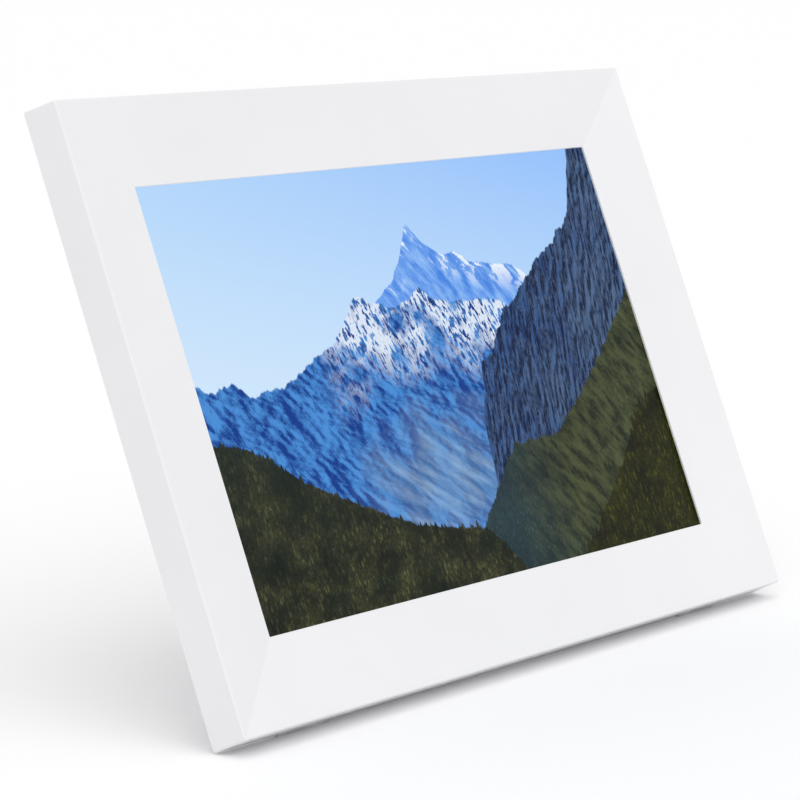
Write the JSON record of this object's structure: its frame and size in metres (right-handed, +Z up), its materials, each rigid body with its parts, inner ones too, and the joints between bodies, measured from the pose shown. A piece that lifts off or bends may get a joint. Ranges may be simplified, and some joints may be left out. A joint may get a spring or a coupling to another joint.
{
  "type": "digital photo frame",
  "caption": "White desktop digital photo frame leaning back on a fold-out leg, with a landscape screen inside a border that slopes in with mitred creases.",
  "frame": {"origin": "centre of the footprint on the surface the frame stands on", "axes": "+X to the right of a person looking at the screen, +Y to the back, +Z up; the panel leans back 22.5 degrees about X"},
  "size_m": [0.2728, 0.0946, 0.1813],
  "materials": {
    "white_front": "satin moulded, cool white",
    "white_back": "fine-textured moulded white",
    "button_grey": "satin",
    "screen": "anti-glare satin",
    "foam": "matt foam",
    "film": "satin",
    "acrylic": "polished",
    "chassis_white": "matt",
    "sheet_steel": "satin",
    "screw_steel": "satin",
    "board_green": "lacquered laminate",
    "black_parts": "matt",
    "can_aluminium": "bright",
    "cable_film": "satin film",
    "lead_red": "satin",
    "rubber": "matt pale silicone"
  },
  "bodies": {
    "frame": {"front_frame": "white_front", "rear_cover": "white_back", "lcd_glass": "screen", "screen_gasket": "foam", "lcd_optical_films": "film", "lcd_light_guide": "acrylic", "lcd_chassis": "chassis_white", "lcd_led_strip": "chassis_white", "lcd_connector": "chassis_white", "lcd_back_tray": "sheet_steel", "lcd_bracket_bottom": "sheet_steel", "lcd_bracket_top": "sheet_steel", "coin_cell": "sheet_steel", "mini_usb_socket": "sheet_steel", "usb_socket": "sheet_steel", "sd_card_slot": "sheet_steel", "stand_hinge_washer": "sheet_steel", "lcd_bracket_screw_1": "screw_steel", "lcd_bracket_screw_2": "screw_steel", "lcd_bracket_screw_3": "screw_steel", "lcd_bracket_screw_4": "screw_steel", "cover_screw_1": "screw_steel", "cover_screw_2": "screw_steel", "cover_screw_3": "screw_steel", "cover_screw_4": "screw_steel", "board_screw_1": "screw_steel", "board_screw_2": "screw_steel", "board_screw_3": "screw_steel", "stand_hinge_pin": "screw_steel", "main_board": "board_green", "key_board": "board_green", "processor_chip": "black_parts", "memory_chip": "black_parts", "flash_chip": "black_parts", "audio_amp_chip": "black_parts", "power_inductor": "black_parts", "coin_cell_holder": "black_parts", "dc_power_jack": "black_parts", "headphone_jack": "black_parts", "speaker_left": "black_parts", "speaker_right": "black_parts", "down_switch": "black_parts", "up_switch": "black_parts", "play_switch": "black_parts", "menu_switch": "black_parts", "power_switch": "black_parts", "capacitor_1": "can_aluminium", "capacitor_2": "can_aluminium", "lcd_flex_cable": "cable_film", "speaker_lead_left": "lead_red", "speaker_lead_right": "lead_red", "foot_left": "rubber", "foot_right": "rubber"},
    "stand": {"stand_leg": "white_back", "stand_foot_pad": "rubber"},
    "down_key": {"down_button": "button_grey"},
    "up_key": {"up_button": "button_grey"},
    "play_key": {"play_button": "button_grey"},
    "menu_key": {"menu_button": "button_grey"},
    "power_key": {"power_button": "button_grey"}
  },
  "joints": [
    {"name": "stand_fold", "type": "hinge", "parent": "frame", "child": "stand", "pos_m": [0, 0.0204, 0.10988], "axis": [-1, 0, 0], "range_deg": [0, 35]},
    {"name": "down_press", "type": "slide", "parent": "frame", "child": "down_key", "axis": [0, -0.9239, 0.3827], "range_m": [0, 0.0006], "stiffness_N_per_m": 400},
    {"name": "up_press", "type": "slide", "parent": "frame", "child": "up_key", "axis": [0, -0.9239, 0.3827], "range_m": [0, 0.0006], "stiffness_N_per_m": 400},
    {"name": "play_press", "type": "slide", "parent": "frame", "child": "play_key", "axis": [0, -0.9239, 0.3827], "range_m": [0, 0.0006], "stiffness_N_per_m": 400},
    {"name": "menu_press", "type": "slide", "parent": "frame", "child": "menu_key", "axis": [0, -0.9239, 0.3827], "range_m": [0, 0.0006], "stiffness_N_per_m": 400},
    {"name": "power_press", "type": "slide", "parent": "frame", "child": "power_key", "axis": [0, -0.9239, 0.3827], "range_m": [0, 0.0006], "stiffness_N_per_m": 400}
  ]
}
